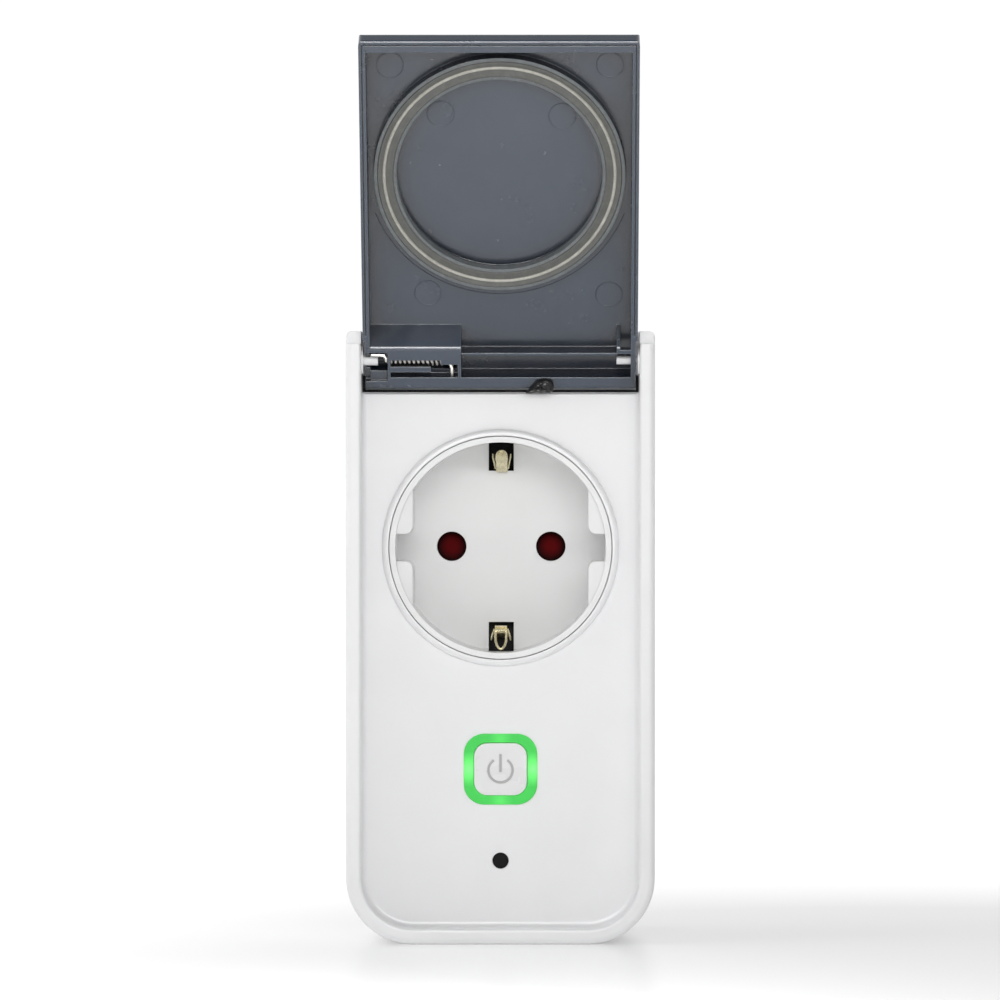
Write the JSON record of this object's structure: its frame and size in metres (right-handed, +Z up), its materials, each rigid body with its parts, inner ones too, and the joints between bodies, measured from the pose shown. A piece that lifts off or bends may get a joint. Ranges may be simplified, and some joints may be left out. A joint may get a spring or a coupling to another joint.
{
  "type": "smart plug",
  "caption": "Outdoor smart plug: an earthed socket under a hinged grey weather lid, a push button in a green light ring, and a matching plug on its back.",
  "frame": {"origin": "centre of the flat lower end that the housing stands on", "axes": "+X to the right across the face, +Y from the face to the back, where the plug is, +Z up along the housing"},
  "size_m": [0.0582, 0.1056, 0.1693],
  "materials": {
    "white_shell": "fine satin",
    "white_socket": "satin",
    "white_button": "satin",
    "natural_plastic": "satin",
    "lid_grey": "fine texture",
    "seal_grey": "matt",
    "black_rubber": "matt",
    "spring_steel": "bright",
    "nickel": "satin",
    "contact_brass": "bright",
    "shutter_red": "satin",
    "sign_grey": "matt",
    "ring_green": "clear, lit from behind",
    "window_black": "polished",
    "board_green": "solder mask",
    "black_plastic": "matt",
    "led_clear": "clear",
    "relay_blue": "gloss",
    "film_yellow": "gloss",
    "capacitor_sleeve": "gloss",
    "varistor_blue": "gloss",
    "wire_brown": "gloss",
    "wire_blue": "gloss",
    "wire_green": "gloss"
  },
  "bodies": {
    "housing": {"front_housing": "white_shell", "rear_housing": "white_shell", "housing_seal": "black_rubber", "hinge_strip": "black_rubber", "wall_seal": "black_rubber", "housing_screws": "spring_steel", "screw_caps": "natural_plastic", "socket_insert": "white_socket", "shutter_plate": "natural_plastic", "shutter_spring": "spring_steel", "earth_contact": "nickel", "contact_live": "contact_brass", "contact_neutral": "contact_brass", "plug_pin_live": "nickel", "plug_pin_neutral": "nickel", "plug_earth": "nickel", "wire_live": "wire_brown", "wire_neutral": "wire_blue", "wire_earth": "wire_green", "light_ring": "ring_green", "button_seal": "black_rubber", "indicator_window": "window_black", "front_board": "board_green", "tact_switch": "black_plastic", "ring_leds": "led_clear", "radio_module": "spring_steel", "main_board": "board_green", "board_screws": "spring_steel", "relay": "relay_blue", "transformer": "film_yellow", "filter_capacitor": "film_yellow", "bulk_capacitor": "capacitor_sleeve", "varistor": "varistor_blue", "fuse": "black_plastic", "shunt": "contact_brass"},
    "lid": {"lid": "lid_grey", "lid_seal": "seal_grey", "lid_spring": "spring_steel", "lid_buffer": "black_rubber"},
    "button": {"button_cap": "white_button", "button_sign": "sign_grey", "switch_plunger": "black_plastic"},
    "shutter": {"shutter": "shutter_red"}
  },
  "joints": [
    {"name": "lid_hinge", "type": "hinge", "parent": "housing", "child": "lid", "pos_m": [0, -0.01775, 0.11], "axis": [1, 0, 0], "range_deg": [0, 154]},
    {"name": "button_press", "type": "slide", "parent": "housing", "child": "button", "axis": [0, 1, 0], "range_m": [0, 0.0005], "stiffness_N_per_m": 2500, "springref_m": -0.0002},
    {"name": "shutter_turn", "type": "hinge", "parent": "housing", "child": "shutter", "pos_m": [0, 0.0041, 0.0746], "axis": [0, 1, 0], "range_deg": [0, 36], "stiffness_Nm_per_rad": 0.002, "springref_deg": -11.46}
  ]
}
